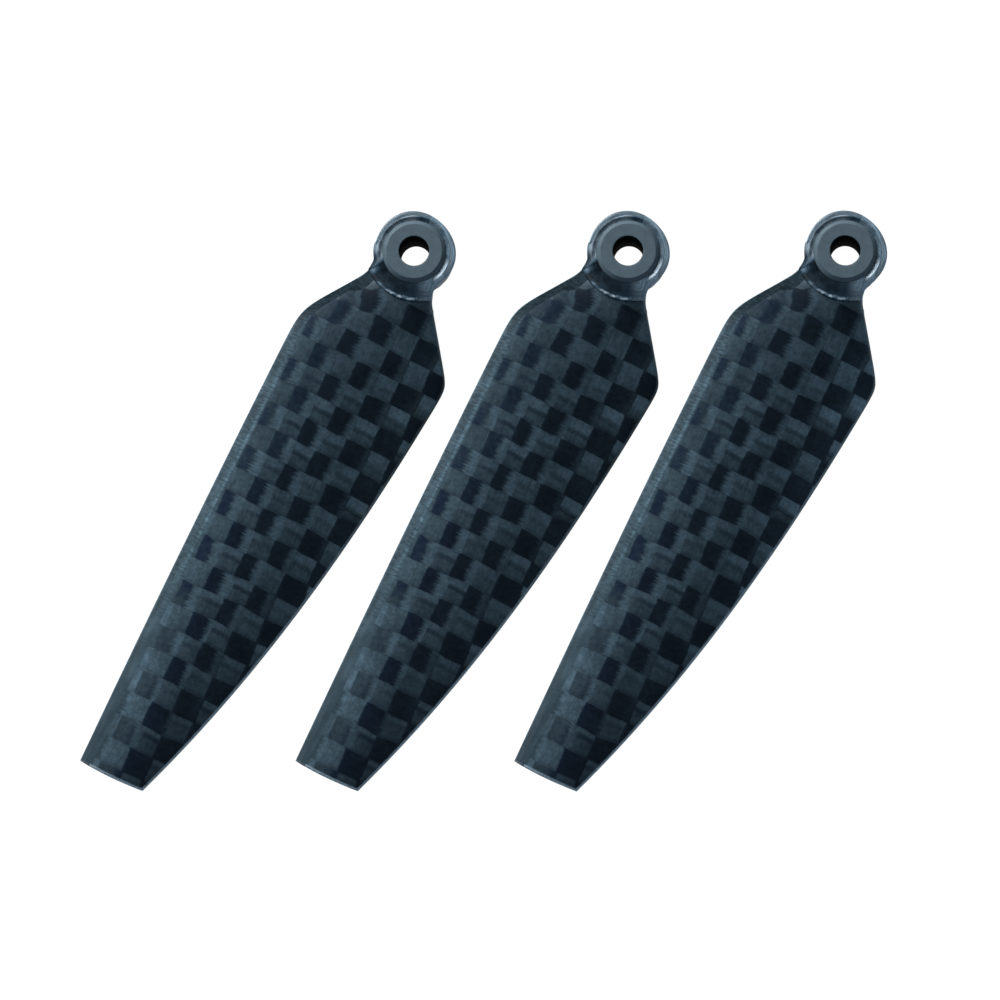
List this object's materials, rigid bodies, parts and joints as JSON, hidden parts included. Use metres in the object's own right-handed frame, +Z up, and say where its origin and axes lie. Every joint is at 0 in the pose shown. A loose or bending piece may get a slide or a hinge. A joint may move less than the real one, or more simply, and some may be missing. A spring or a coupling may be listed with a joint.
{
  "type": "propeller blade set",
  "caption": "Loose folding propeller blades in woven carbon fibre, each with a round root eyelet and a grey sleeve bush that a clamping bolt passes through.",
  "frame": {"origin": "centre of the set's footprint, on the ground plane that the three bushes stand on", "axes": "+Z up along the bore axes; +X along the row of three bores, from blade_1 to blade_3; +Y from the tips towards the bores"},
  "size_m": [0.08, 0.0584, 0.005],
  "materials": {
    "woven_carbon": "clear-coated plain-weave carbon fibre",
    "woven_carbon_under": "clear-coated plain-weave carbon fibre, underside",
    "core_foam": "rigid foam",
    "tow_loop": "satin unidirectional carbon tow",
    "moulded_root": "satin moulded carbon and resin",
    "edge_tow": "satin carbon tow with fine cross marks",
    "bush_grey": "matte dark grey anodised"
  },
  "bodies": {
    "blade_1": {"blade_1_upper_skin": "woven_carbon", "blade_1_lower_skin": "woven_carbon_under", "blade_1_core": "core_foam", "blade_1_spar_strap": "tow_loop", "blade_1_root_boss": "moulded_root", "blade_1_leading_edge_tow": "edge_tow"},
    "bush_1": {"blade_1_pivot_bush": "bush_grey"},
    "blade_2": {"blade_2_upper_skin": "woven_carbon", "blade_2_lower_skin": "woven_carbon_under", "blade_2_core": "core_foam", "blade_2_spar_strap": "tow_loop", "blade_2_root_boss": "moulded_root", "blade_2_leading_edge_tow": "edge_tow"},
    "bush_2": {"blade_2_pivot_bush": "bush_grey"},
    "blade_3": {"blade_3_upper_skin": "woven_carbon", "blade_3_lower_skin": "woven_carbon_under", "blade_3_core": "core_foam", "blade_3_spar_strap": "tow_loop", "blade_3_root_boss": "moulded_root", "blade_3_leading_edge_tow": "edge_tow"},
    "bush_3": {"blade_3_pivot_bush": "bush_grey"}
  },
  "joints": [
    {"name": "lift_blade_1", "type": "slide", "parent": "blade_2", "child": "blade_1", "axis": [0, 0, 1], "range_m": [0, 0.03]},
    {"name": "lift_blade_3", "type": "slide", "parent": "blade_2", "child": "blade_3", "axis": [0, 0, 1], "range_m": [0, 0.03]},
    {"name": "swing_1", "type": "hinge", "parent": "blade_1", "child": "bush_1", "pos_m": [-0.0072, 0.02506, 0.0025], "axis": [0, 0, 1], "continuous": true},
    {"name": "swing_2", "type": "hinge", "parent": "blade_2", "child": "bush_2", "pos_m": [0.0142, 0.02506, 0.0025], "axis": [0, 0, 1], "continuous": true},
    {"name": "swing_3", "type": "hinge", "parent": "blade_3", "child": "bush_3", "pos_m": [0.0359, 0.02506, 0.0025], "axis": [0, 0, 1], "continuous": true}
  ]
}
